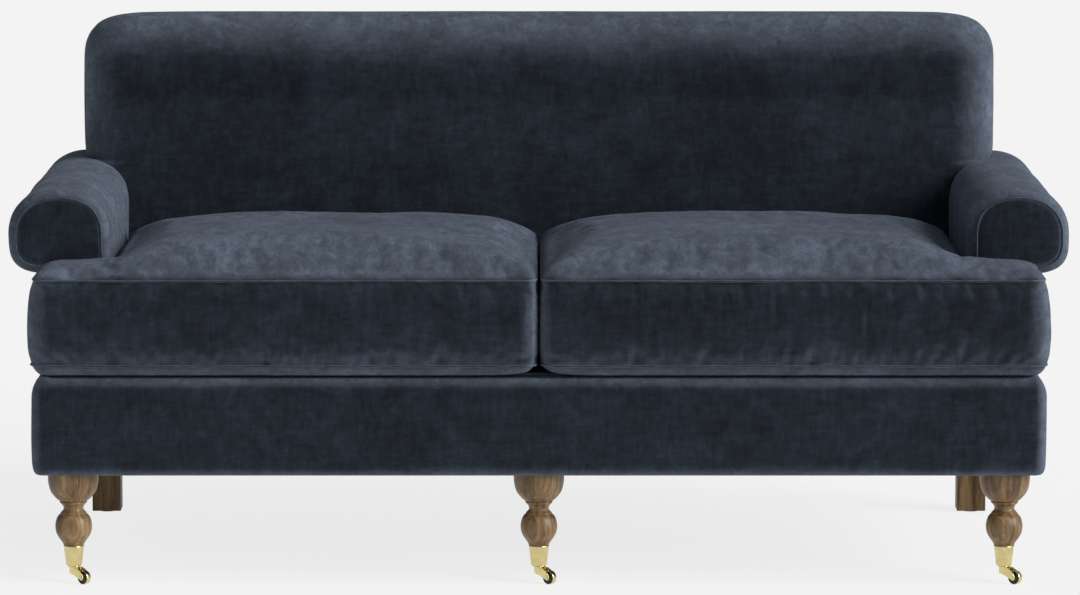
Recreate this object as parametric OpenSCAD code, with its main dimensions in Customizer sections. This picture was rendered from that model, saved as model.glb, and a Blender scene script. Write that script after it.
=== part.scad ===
// Two-seat rolled-arm sofa: padded tight back, two loose T-shaped seat cushions,
// upholstered base band, three turned front legs on brass cup casters and two
// square rear legs. Millimetres, +Z up, the front faces -Y, the origin is on the
// floor in the middle of the plan.

/* [Base] */
// Half width of the upholstered base band
base_hw = 865; // [857:0.5:865]
// Height of the underside of the base
base_z0 = 195; // [195:0.5:196]
// Height of the top edge of the base band
base_z1 = 360; // [359.5:0.5:360]
// Vertical corner radius of the base band
base_r = 22; // [16:1:30]

/* [Arms] */
// Half height of the upper half of the arm roll
roll_up = 78; // [74:1:80]
// Half height of the lower half of the arm roll
roll_down = 66; // [62:1:68]
// Height of the middle of the arm roll
roll_z = 587; // [585:1:590]
// Reach of the arm roll outwards from its middle
roll_out = 86.5; // [82:0.5:86.5]

/* [Back] */
// Half width of the back above the arms
back_hw = 830; // [829:1:832]
// Height of the top of the back
back_top = 924; // [920:1:926]
// Rake of the back frame and of the outside back, degrees
rake = 4; // [4:0.5:4]

/* [Seat cushions] */
// Height of the seat deck on which the cushions lie
deck_z = 368; // [368:0.5:368]
// Height of the top welt of the cushions
welt_z = 530; // [526:1:534]
// Rise of the crown above the top welt
crown = 55; // [45:1:58]

/* [Legs and casters] */
// Distance of each outer front leg from the middle
leg_x = 798; // [796:1:800]
// Front leg axis
leg_y = -393; // [-394:1:-392]
// Side of the square rear legs
rear_leg = 52; // [48:1:54]
// Trail of the caster wheel behind its kingpin
trail = 24; // [23:0.5:25]
// Plan angle of the caster trail, degrees
trail_angle = -40; // [-180:5:180]
// Caster wheel radius
wheel_r = 12; // [11.5:0.5:12]

/* [Hidden] */
$fn = 64;

velvet = "#26313f";
timber = "#c9a878";
walnut = "#7a5a41";
steel = "#9aa0a6";
brass = "#c9b878";
foam = "#e6dfc4";

// depth stations
front_y = -455;      // front face of the base band
arm_y0 = -290;       // front face of the arms
arm_y1 = 405;        // rear end of the arms
rear_y = 405;        // rear face of the rear rail
skin = 2;            // cover and its backing
gap = 0.3;           // room between layers
rail_t = 28;         // rail thickness
rail_z0 = 200;
rail_z1 = 343;
arm_in = 742;        // inner face of the arms
arm_out = 860;       // outer face of the arms below the roll
roll_x = 828;        // middle of the arm roll
panel_top = 668;     // length of the outside back along its rake
back_y0 = 460 - panel_top * sin(rake); // outer face of the outside back at base_z0
cell_hw = 800;       // half width of the frame space inside the back
cell_d = 66;         // depth of that space, from the outer face
cell_top = 672;
seat_springs_x = [90, 235, 380, 525, 670];
back_springs_x = [100, 285, 470, 655];
leg_pts = [[-leg_x, leg_y], [0, leg_y], [leg_x, leg_y]];
rear_pts = [[-leg_x, 352], [leg_x, 352]];

function unit(v) = v / norm(v);
function sgn(v) = v < 0 ? -1 : 1;
// outline with a radius at each square corner
function rpoly(p, r, n = 6) = [for (k = [0:len(p) - 1])
  let (P = p[k], A = unit(p[(k + len(p) - 1) % len(p)] - P), B = unit(p[(k + 1) % len(p)] - P), R = r[k], C = P + (A + B) * R)
  each (R <= 0 ? [P] : [for (j = [0:n]) let (t = 90 * j / n) C - R * (B * cos(t) + A * sin(t))])];
// part of a superellipse
function sup(c, a, b, e, a0, a1, n, i0 = 0, i1 = 0) = [for (i = [i0:n - i1])
  let (t = a0 + (a1 - a0) * i / n, u = cos(t), v = sin(t))
  [c[0] + a * sgn(u) * pow(abs(u), 2 / e), c[1] + b * sgn(v) * pow(abs(v), 2 / e)]];

// profile in X and Z, drawn from y0 to y1
module along_y(y0, y1) { translate([0, y1, 0]) rotate([90, 0, 0]) linear_extrude(height = y1 - y0) children(); }
// profile in Y and Z, drawn from x0 to x1
module along_x(x0, x1) { translate([x0, 0, 0]) rotate([90, 0, 90]) linear_extrude(height = x1 - x0) children(); }
module box(a, b) { translate(a) cube(b - a); }
module both() { children(); mirror([1, 0, 0]) children(); }

// ---- shared shapes -------------------------------------------------------

// arm outline on the right-hand side, i inside the finished face
function arm_outline(i, z0) = let (t0 = -acos(pow((arm_out - roll_x - i) / (roll_out - i), 1.4))) concat(
  [[arm_out - i, z0]],
  sup([roll_x, roll_z], roll_out - i, roll_down - i, 2.8, t0, 0, 10),
  sup([roll_x, roll_z], roll_out - i, roll_up - i, 2.2, 0, 90, 10, 1),
  sup([roll_x, roll_z], roll_x - arm_in - i, roll_up - i, 2.4, 90, 180, 10, 1),
  [[arm_in + i, z0]]);
module arm_form(i, y0, y1, z0) { along_y(y0, y1) polygon(arm_outline(i, z0)); }

// back: front outline crossed with side profile
function back_outline(i, z0) = let (c = [back_hw - 130, back_top - 89]) concat(
  [[-back_hw + i, z0], [back_hw - i, z0]],
  sup(c, 130 - i, 89 - i, 3, 0, 90, 12),
  [for (p = sup(c, 130 - i, 89 - i, 3, 90, 0, 12)) [-p[0], p[1]]]);
function rear_plane(z, d) = back_y0 - d / cos(rake) + (z - base_z0) * tan(rake);
function back_profile(i, z0, d) = let (ry = rear_plane(858, d)) concat(
  [[170 + i, z0], [170 + i, deck_z - 1], [176 + i, 470], [190 + i, 570], [203 + i, 635], [218 + i, 700], [240 + i, 780]],
  sup([352, 800], 108 - i, back_top - 800 - i, 2.2, 180, 90, 12),
  sup([352, 858], ry - 352, back_top - 858 - i, 2.3, 90, 0, 10, 1),
  [[rear_plane(z0, d), z0]]);
module back_form(i, z0, d) {
  intersection() {
    along_y(100, 470) polygon(back_outline(i, z0));
    along_x(-850, 850) polygon(back_profile(i, z0, d));
  }
}
module raked() { translate([0, back_y0, base_z0]) rotate([-rake, 0, 0]) children(); }
// space inside the back that holds its frame
module back_cell(g) { raked() box([-cell_hw - g, -cell_d - g, 130], [cell_hw + g, 40, cell_top + g]); }

// plan of the base band
function base_plan(i, y1) = rpoly([[-base_hw + i, y1], [-base_hw + i, front_y + i], [base_hw - i, front_y + i], [base_hw - i, y1]],
  [0, base_r - min(i, base_r - 4), base_r - min(i, base_r - 4), 0]);
module base_ring(i0, i1, z0, z1, y1) {
  translate([0, 0, z0]) linear_extrude(height = z1 - z0) difference() {
    polygon(base_plan(i0, y1));
    polygon(base_plan(i1, y1 - skin));
    translate([-829.3, 390]) square([2 * 829.3, 40]);
  }
}

// plan of the seat deck, wide in front of the arms
function deck_plan(i, y1) = [[-853 + i, -449 + i], [853 - i, -449 + i], [853 - i, -290.5 - i], [741.7 - i, -290.5 - i], [741.7 - i, y1],
  [-741.7 + i, y1], [-741.7 + i, -290.5 - i], [-853 + i, -290.5 - i]];

// seat cushion on the right-hand side, i inside the finished face
function cushion_plan(i) = rpoly(
  [[4.5 + i, -457 + i], [862 - i, -457 + i], [862 - i, -297 - i], [737.5 - i, -297 - i], [737.5 - i, 162 - i], [4.5 + i, 162 - i]],
  [20 - i, 24 - i, 20 - i, 8 + i, 24 - i, 20 - i]);
// a crown with soft shoulders: it reaches its full height 150 from the seam
function rise(d) = crown * pow(1 - pow(1 - min(d, 150) / 150, 3), 0.8);
shoulder = [0, 3, 8, 15, 25, 38, 55, 78, 110, 150];
function crowned(a, b, i, z0) = concat([[a + i, z0], [b - i, z0]],
  [for (d = shoulder) [b - i - d, welt_z - i + rise(d)]],
  [for (k = [1:10]) let (d = shoulder[10 - k]) [a + i + d, welt_z - i + rise(d)]]);
module cushion_form(i, z0) {
  intersection() {
    translate([0, 0, z0]) linear_extrude(height = 300) polygon(cushion_plan(i));
    along_y(-460, 170) polygon(crowned(4.5, 862, i, z0));
    along_x(0, 870) polygon(crowned(-457, 162, i, z0));
  }
}

// sinuous spring: a flat wave of wire, length l
function wave(l, amp, half, w) =
  let (n = round(l / half) * 4,
    c = [for (k = [0:n]) let (s = l * k / n) [amp * sin(180 * s / half), s]],
    m = [for (k = [0:n]) let (s = l * k / n) unit([1, -amp * PI / half * cos(180 * s / half)]) * w / 2])
  concat([for (k = [0:n]) c[k] + m[k]], [for (k = [0:n]) c[n - k] - m[n - k]]);

// ---- timber frame --------------------------------------------------------

module front_rail() { color(timber) box([-853.5, front_y + 10, rail_z0], [853.5, front_y + 10 + rail_t, rail_z1]); }
module rear_rail() { color(timber) box([-853.5, rear_y - rail_t, rail_z0], [853.5, rear_y, rail_z1]); }
module side_rails() { color(timber) both() box([853.5 - rail_t, front_y + 10 + rail_t, rail_z0], [853.5, rear_y - rail_t, rail_z1]); }
module centre_stretcher() { color(timber) box([-14, -340, 200], [14, 377, 290]); }
module corner_blocks() {
  color(timber) difference() {
    union() {
      both() {
        box([735, -417, 200], [825.5, -340, 320]);
        box([735, 300, 200], [825.5, 377, 320]);
      }
      box([-50, -417, 200], [50, -340, 320]);
    }
    for (p = concat(leg_pts, rear_pts)) translate([p[0], p[1], 199]) {
      cylinder(r = 4, h = 41);
      cylinder(r = 5.5, h = 13);
      cylinder(r = 11, h = 2.2);
    }
  }
}
module back_posts() {
  color(timber) intersection() {
    raked() both() box([770, -58, 120], [799.5, -8, 671]);
    box([-900, 200, rail_z1 + gap], [900, 500, 900]);
  }
}
module back_centre_post() { color(timber) raked() box([-15, -56, 215], [15, -30, 631]); }
module back_top_rail() { color(timber) raked() box([-769.7, -58, 631], [769.7, -30, 671]); }
module back_lower_rail() { color(timber) raked() box([-769.7, -58, 170], [769.7, -30, 215]); }
module arm_scroll_board_form(g) { arm_form(14 - g, -284 - g, -266 + g, 360.5 - g); }
module arm_scroll_boards() { color(timber) both() arm_scroll_board_form(0); }
module arm_top_board_form(g) { box([803 - g, -266, 600 - g], [872 + g, 398 + g, 622 + g]); }
module arm_top_boards() { color(timber) both() arm_top_board_form(0); }
module arm_mid_slat_form(g) { box([754 - g, -266, 470 - g], [772 + g, 345 + g, 520 + g]); }
module arm_slats() {
  color(timber) both() {
    arm_mid_slat_form(0);
    box([744, -288, rail_z1 + gap], [853, 345, 360]);
  }
}

// ---- springs -------------------------------------------------------------

module seat_springs() {
  color(steel) both() for (x = seat_springs_x)
    translate([x, -431, 344.1]) linear_extrude(height = 4) polygon(wave(816, 22, 34, 4));
}
module back_springs() {
  color(steel) raked() both() for (x = back_springs_x)
    translate([x, -59.8, 190]) rotate([90, 0, 0]) linear_extrude(height = 3.6) polygon(wave(466, 22, 36, 3.6));
}
module spring_clips() {
  color(steel) {
    both() for (x = seat_springs_x) {
      box([x - 12, -441, rail_z1], [x + 12, -420, rail_z1 + 1]);
      box([x - 12, -441, rail_z1 + 1], [x + 12, -438.5, rail_z1 + 5.5]);
      box([x - 12, 380, rail_z1], [x + 12, 401, rail_z1 + 1]);
      box([x - 12, 398.5, rail_z1 + 1], [x + 12, 401, rail_z1 + 5.5]);
    }
    raked() both() for (x = back_springs_x) {
      box([x - 12, -59.5, 180], [x + 12, -58, 208]);
      box([x - 12, -59.5, 640], [x + 12, -58, 664]);
    }
  }
}

// ---- upholstery ----------------------------------------------------------

module deck_padding() {
  color(foam) {
    translate([0, 0, 349]) linear_extrude(height = 11) polygon(deck_plan(12, 344));
    translate([0, 0, 360]) linear_extrude(height = deck_z - skin - gap - 360) polygon(deck_plan(2.3, 169.2));
  }
}
module deck_cover() {
  color(velvet) difference() {
    translate([0, 0, 360.3]) linear_extrude(height = deck_z - 360.3) polygon(deck_plan(0, 169.5));
    translate([0, 0, 360]) linear_extrude(height = deck_z - skin - 360) polygon(deck_plan(skin, 169.5 + 1));
  }
}
module both_arms_space() { both() arm_form(0, arm_y0 - 2, arm_y1, 355); }
module back_padding() {
  color(foam) difference() {
    back_form(skin + gap, deck_z - skin, 5 + gap);
    back_cell(0.5);
    both_arms_space();
  }
}
module back_cover() {
  color(velvet) difference() {
    back_form(0, deck_z - skin, 5 + gap);
    back_form(skin, deck_z - 30, 0);
    both_arms_space();
  }
}
module outside_back() {
  color(velvet) raked() translate([0, 0, 0]) rotate([90, 0, 0]) linear_extrude(height = 5)
    polygon(rpoly([[-829, 1], [829, 1], [829, panel_top], [-829, panel_top]], [0, 0, 8, 8]));
}
module arm_padding() {
  color(foam) difference() {
    arm_form(skin + gap, -287.6, arm_y1 - skin - gap, 360.3);
    back_cell(0.5);
    arm_scroll_board_form(gap);
    arm_top_board_form(gap);
    arm_mid_slat_form(gap);
  }
}
module arm_cover() {
  color(velvet) difference() {
    arm_form(0, arm_y0, arm_y1, 360.3);
    arm_form(skin, arm_y0 + skin, arm_y1 - skin, 350);
    arm_form(10, arm_y0 - 1, arm_y0 + 3, 350);
    back_cell(0.5);
  }
}
module arm_facing() { color(velvet) arm_form(10.3, arm_y0 - 0.5, arm_y0 + 2, 369); }
module arm_facing_welt() {
  difference() {
    arm_form(7.5, arm_y0 - 2, arm_y0 - 0.6, 369);
    arm_form(11, arm_y0 - 3, arm_y0, 360);
  }
}
module arm_padding_right() { arm_padding(); }
module arm_padding_left() { mirror([1, 0, 0]) arm_padding(); }
module arm_cover_right() { arm_cover(); }
module arm_cover_left() { mirror([1, 0, 0]) arm_cover(); }
module arm_facing_right() { arm_facing(); }
module arm_facing_left() { mirror([1, 0, 0]) arm_facing(); }
module arm_facing_welts() { color(velvet) both() arm_facing_welt(); }

// three convex strips of wadding, over the front rail and the side rails
module base_padding_form() {
  translate([0, 0, base_z0 + skin + gap]) linear_extrude(height = base_z1 - base_z0 - 2 * (skin + gap))
    polygon(base_plan(skin + gap, rear_y - 0.4));
}
module base_padding() {
  color(foam) {
    intersection() { base_padding_form(); box([-900, front_y, 0], [900, front_y + 10 - gap, 400]); }
    both() intersection() { base_padding_form(); box([853.5 + gap, front_y + 10, 0], [900, 450, 400]); }
  }
}
module base_cover() {
  color(velvet) {
    base_ring(0, skin, base_z0, base_z1, rear_y + skin);
    base_ring(0.5, 10.5, base_z1 - skin, base_z1, rear_y + skin);
    base_ring(0.5, 14, base_z0, base_z0 + skin, rear_y + skin);
  }
}
module dust_cover() {
  color("#2a2a2a") translate([0, 0, 199]) linear_extrude(height = 0.9) difference() {
    translate([-848, -440]) square([1696, 840]);
    for (p = leg_pts) translate(p) circle(r = 43.8);
    for (p = rear_pts) translate(p) square([rear_leg + 1, rear_leg + 1], center = true);
  }
}

// ---- legs ----------------------------------------------------------------

// turned outline: radius and height from the top plate down to the cup
leg_turning = [[43.2, 200], [43.3, 186], [43.1, 178], [42.2, 172], [40.9, 166], [39.2, 161], [36.7, 156.4], [32.8, 151.5],
  [28.6, 147], [25.8, 144.6], [22.6, 143.6], [23.2, 142.2], [22.7, 139.6], [20.4, 137.4], [18.3, 134.8], [17, 131],
  [17.5, 127.8], [19.3, 125.4], [21.1, 123.4], [22.7, 121.6], [22.2, 120.6], [25, 118.8], [27.9, 114], [29.7, 109.3],
  [30.9, 104.5], [31.4, 99.5], [31.2, 95], [30.4, 90.3], [28.8, 85.6], [26.2, 80.8], [23, 76], [19.7, 71.4], [17.9, 68], [17.4, 65.8]];
screw_z = 52;
module screw_shank() { translate([0, 8, screw_z]) rotate([-90, 0, 0]) cylinder(r = 1.3, h = 8); }
module screw_head() { translate([0, 15.2, screw_z]) rotate([-90, 0, 0]) cylinder(r = 2.4, h = 1.6); }
module front_leg(x) {
  color(walnut) translate([x, leg_y, 0]) difference() {
    rotate_extrude() polygon(concat([[0, 200]], leg_turning, [[15.6, 65.8], [12.3, 37], [0, 37]]));
    translate([0, 0, 160]) cylinder(r = 4, h = 50);
    screw_shank();
  }
}
module front_leg_left() { front_leg(-leg_x); }
module front_leg_centre() { front_leg(0); }
module front_leg_right() { front_leg(leg_x); }
module rear_leg_form(x) {
  color(walnut) translate([x, 352, 0]) difference() {
    translate([0, 0, 3]) linear_extrude(height = 197)
      polygon(rpoly([[-rear_leg / 2, -rear_leg / 2], [rear_leg / 2, -rear_leg / 2], [rear_leg / 2, rear_leg / 2], [-rear_leg / 2, rear_leg / 2]], [2, 2, 2, 2], 4));
    translate([0, 0, 160]) cylinder(r = 4, h = 50);
    translate([0, 0, 2]) cylinder(r = 1.5, h = 13);
  }
}
module rear_leg_left() { rear_leg_form(-leg_x); }
module rear_leg_right() { rear_leg_form(leg_x); }
module leg_bolts() { color(steel) for (p = concat(leg_pts, rear_pts)) translate([p[0], p[1], 160]) cylinder(r = 4, h = 78); }
module leg_nuts() {
  color(steel) for (p = concat(leg_pts, rear_pts)) translate([p[0], p[1], 200]) difference() {
    union() {
      cylinder(r = 11, h = 1.2);
      cylinder(r = 5.5, h = 12);
    }
    translate([0, 0, -1]) cylinder(r = 4, h = 20);
  }
}
module rear_glides() {
  color("#3a3a3a") for (p = rear_pts) translate([p[0], p[1], 0]) {
    cylinder(r = 15, h = 3);
    cylinder(r = 1.5, h = 15);
  }
}

// ---- casters -------------------------------------------------------------

module caster_cups() {
  color(brass) for (p = leg_pts) translate([p[0], p[1], 0]) difference() {
    rotate_extrude() polygon([[3.1, 30.8], [12.4, 30.8], [13.3, 31.3], [13.8, 32.4], [14.7, 41], [16.2, 54], [17.2, 63.4], [17.6, 64.4], [17.6, 65.3], [17.2, 65.8],
      [15.9, 65.8], [12.3, 33.8], [3.1, 33.8]]);
    screw_shank();
    screw_head();
  }
}
module cup_screws() { color(brass) for (p = leg_pts) translate([p[0], p[1], 0]) { screw_shank(); screw_head(); } }

module fork_plate() {
  rotate([90, 0, 0]) linear_extrude(height = 2.2, center = true) {
    polygon([[-2, 17], [8, 14.2], [21.8, 8], [27.6, 14.9], [25.5, 19.5], [21, 24], [15, 27.2], [8, 28.3], [-2, 28.3]]);
    translate([trail, wheel_r]) circle(r = 4.6);
  }
}
module caster_horn(x) {
  color(brass) translate([x, leg_y, 0]) rotate([0, 0, trail_angle]) difference() {
    union() {
      translate([0, 0, 17]) cylinder(r = 8.2, h = 11.3);
      translate([0, 0, 28.3]) cylinder(r = 10.6, h = 2.2);
      for (s = [-1, 1]) translate([0, s * 6.9, 0]) fork_plate();
      translate([0, 0, 30]) cylinder(r = 3.05, h = 4.6);
      translate([0, 0, 34.1]) cylinder(r = 4.8, h = 2);
    }
    translate([trail, 0, wheel_r]) rotate([90, 0, 0]) cylinder(r = 1.5, h = 30, center = true);
  }
}
module caster_axle(x) {
  color(steel) translate([x, leg_y, 0]) rotate([0, 0, trail_angle]) translate([trail, 0, wheel_r]) rotate([90, 0, 0]) {
    cylinder(r = 1.5, h = 17.6, center = true);
    for (s = [-1, 1]) translate([0, 0, s * 8.5]) cylinder(r = 2.5, h = 1, center = true);
  }
}
module caster_wheel(x) {
  color("#1c1a18") translate([x, leg_y, 0]) rotate([0, 0, trail_angle]) translate([trail, 0, wheel_r]) rotate([90, 0, 0])
    rotate_extrude() polygon([[1.56, -5.2], [3.8, -5.2], [4.4, -4.2], [9.2, -4.2], [9.8, -4.9], [wheel_r - 1, -4.9], [wheel_r - 0.2, -4.2], [wheel_r, -3],
      [wheel_r, 3], [wheel_r - 0.2, 4.2], [wheel_r - 1, 4.9], [9.8, 4.9], [9.2, 4.2], [4.4, 4.2], [3.8, 5.2], [1.56, 5.2]]);
}
module caster_horn_left() { caster_horn(-leg_x); }
module caster_horn_centre() { caster_horn(0); }
module caster_horn_right() { caster_horn(leg_x); }
module caster_axle_left() { caster_axle(-leg_x); }
module caster_axle_centre() { caster_axle(0); }
module caster_axle_right() { caster_axle(leg_x); }
module caster_wheel_left() { caster_wheel(-leg_x); }
module caster_wheel_centre() { caster_wheel(0); }
module caster_wheel_right() { caster_wheel(leg_x); }

// ---- loose seat cushions -------------------------------------------------

module cushion_core_right() { color(foam) cushion_form(skin + gap, 371); }
module cushion_core_left() { mirror([1, 0, 0]) cushion_core_right(); }
module cushion_cover_right() {
  color(velvet) difference() {
    cushion_form(0, 368.5);
    cushion_form(skin, 370.5);
  }
}
module cushion_cover_left() { mirror([1, 0, 0]) cushion_cover_right(); }
module welt_ring(z) {
  translate([0, 0, z - 3]) linear_extrude(height = 6) difference() {
    polygon(cushion_plan(-3));
    polygon(cushion_plan(0));
  }
}
module cushion_welts_right() { color(velvet) { welt_ring(welt_z - 3); welt_ring(384); } }
module cushion_welts_left() { mirror([1, 0, 0]) cushion_welts_right(); }
module cushion_zip_right() {
  color("#20242a") {
    box([90, 162, 452], [690, 162.8, 476]);
    box([90, 162.5, 462], [690, 164.8, 466]);
  }
}
module cushion_zip_left() { mirror([1, 0, 0]) cushion_zip_right(); }
module zip_pull_right() {
  color(steel) {
    difference() {
      box([668, 163.1, 459.5], [679, 166.6, 468.5]);
      box([660, 162, 461.85], [690, 165, 466.15]);
    }
    box([671, 166.4, 444], [676, 167.6, 463]);
  }
}
module zip_pull_left() { mirror([1, 0, 0]) zip_pull_right(); }

front_rail();
rear_rail();
side_rails();
centre_stretcher();
corner_blocks();
back_posts();
back_centre_post();
back_top_rail();
back_lower_rail();
arm_scroll_boards();
arm_top_boards();
arm_slats();
seat_springs();
back_springs();
spring_clips();
deck_padding();
deck_cover();
back_padding();
back_cover();
outside_back();
arm_padding_left();
arm_padding_right();
arm_cover_left();
arm_cover_right();
arm_facing_left();
arm_facing_right();
arm_facing_welts();
base_padding();
base_cover();
dust_cover();
front_leg_left();
front_leg_centre();
front_leg_right();
rear_leg_left();
rear_leg_right();
leg_bolts();
leg_nuts();
rear_glides();
caster_cups();
cup_screws();
caster_horn_left();
caster_horn_centre();
caster_horn_right();
caster_axle_left();
caster_axle_centre();
caster_axle_right();
caster_wheel_left();
caster_wheel_centre();
caster_wheel_right();
cushion_core_left();
cushion_core_right();
cushion_cover_left();
cushion_cover_right();
cushion_welts_left();
cushion_welts_right();
cushion_zip_left();
cushion_zip_right();
zip_pull_left();
zip_pull_right();
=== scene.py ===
import math

import bmesh
import bpy
import numpy as np
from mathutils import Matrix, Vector


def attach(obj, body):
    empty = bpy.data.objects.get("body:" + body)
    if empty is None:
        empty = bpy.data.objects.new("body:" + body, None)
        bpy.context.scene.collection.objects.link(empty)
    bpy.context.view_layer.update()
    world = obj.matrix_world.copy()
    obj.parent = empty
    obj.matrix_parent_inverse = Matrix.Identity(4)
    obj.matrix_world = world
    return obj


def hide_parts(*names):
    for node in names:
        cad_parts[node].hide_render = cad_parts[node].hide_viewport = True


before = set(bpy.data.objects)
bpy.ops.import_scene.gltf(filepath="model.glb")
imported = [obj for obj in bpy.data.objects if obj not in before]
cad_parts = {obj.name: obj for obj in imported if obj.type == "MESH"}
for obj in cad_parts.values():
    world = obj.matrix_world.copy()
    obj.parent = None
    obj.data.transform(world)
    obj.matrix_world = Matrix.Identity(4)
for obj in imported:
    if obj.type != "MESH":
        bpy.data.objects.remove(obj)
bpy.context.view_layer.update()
sc = bpy.context.scene
MM = 0.001

# ------------------------------------------------------------------ camera
cam_data = bpy.data.cameras.new("camera")
cam_data.lens = 185.2
cam_data.sensor_width = 36.0
cam_data.shift_x = 0.0010
cam_data.clip_end = 200
cam = bpy.data.objects.new("camera", cam_data)
cam.location = (0, -9.793, 1.718)
cam.rotation_euler = (math.radians(90 - 7.42), 0, 0)
sc.collection.objects.link(cam)
sc.camera = cam

# ---------------------------------------------------------------- materials


def node_kit(name):
    m = bpy.data.materials.new(name)
    m.use_nodes = True
    nt = m.node_tree
    for n in list(nt.nodes):
        nt.nodes.remove(n)
    out = nt.nodes.new("ShaderNodeOutputMaterial")
    bsdf = nt.nodes.new("ShaderNodeBsdfPrincipled")
    nt.links.new(bsdf.outputs[0], out.inputs[0])
    co = nt.nodes.new("ShaderNodeTexCoord")

    def noise(scale, size=1.0, detail=3.0, rough=0.55, distortion=0.0, offset=(0, 0, 0)):
        """noise in object coordinates, with its own stretch along each axis"""
        mp = nt.nodes.new("ShaderNodeMapping")
        mp.inputs["Scale"].default_value = scale
        mp.inputs["Location"].default_value = offset
        nt.links.new(co.outputs["Object"], mp.inputs[0])
        n = nt.nodes.new("ShaderNodeTexNoise")
        n.inputs["Scale"].default_value = size
        n.inputs["Detail"].default_value = detail
        n.inputs["Roughness"].default_value = rough
        n.inputs["Distortion"].default_value = distortion
        nt.links.new(mp.outputs[0], n.inputs["Vector"])
        return n.outputs["Fac"]

    def math_(op, a, b=0.5, c=None, clamp=False):
        n = nt.nodes.new("ShaderNodeMath")
        n.operation = op
        n.use_clamp = clamp
        for i, v in enumerate((a, b, c)):
            if v is None:
                continue
            if isinstance(v, (int, float)):
                n.inputs[i].default_value = v
            else:
                nt.links.new(v, n.inputs[i])
        return n.outputs[0]

    def ramp(fac, stops, interpolation="LINEAR"):
        r = nt.nodes.new("ShaderNodeValToRGB")
        r.color_ramp.interpolation = interpolation
        el = r.color_ramp.elements
        el[0].position, el[0].color = stops[0][0], (*stops[0][1], 1)
        el[1].position, el[1].color = stops[-1][0], (*stops[-1][1], 1)
        for p, c in stops[1:-1]:
            e = el.new(p)
            e.color = (*c, 1)
        nt.links.new(fac, r.inputs[0])
        return r.outputs[0]

    def bump(height, strength, distance, normal=None):
        b = nt.nodes.new("ShaderNodeBump")
        b.inputs["Strength"].default_value = strength
        b.inputs["Distance"].default_value = distance
        nt.links.new(height, b.inputs["Height"])
        if normal is not None:
            nt.links.new(normal, b.inputs["Normal"])
        return b.outputs[0]

    return m, nt, bsdf, co, noise, math_, ramp, bump


SHEEN, SHEEN_ROUGH, SHEEN_TINT = 0.06, 0.35, (0.55, 0.63, 0.78)
# painted sheen: the velvet's base colour is mixed from the dark colour seen square on to the pale colour at a glancing
# view, along this curve
NAP_DARK, PAINTED_SHEEN_PALE = (0.0103, 0.0140, 0.0206), (0.0780, 0.0950, 0.1270)
PAINTED_SHEEN_CURVE = ((0.0, 0.0), (0.03, 0.05), (0.08, 0.26), (0.16, 0.50), (0.29, 0.76), (0.50, 0.96), (1.0, 1.0))


def grey(v):
    return (v, v, v)


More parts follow.
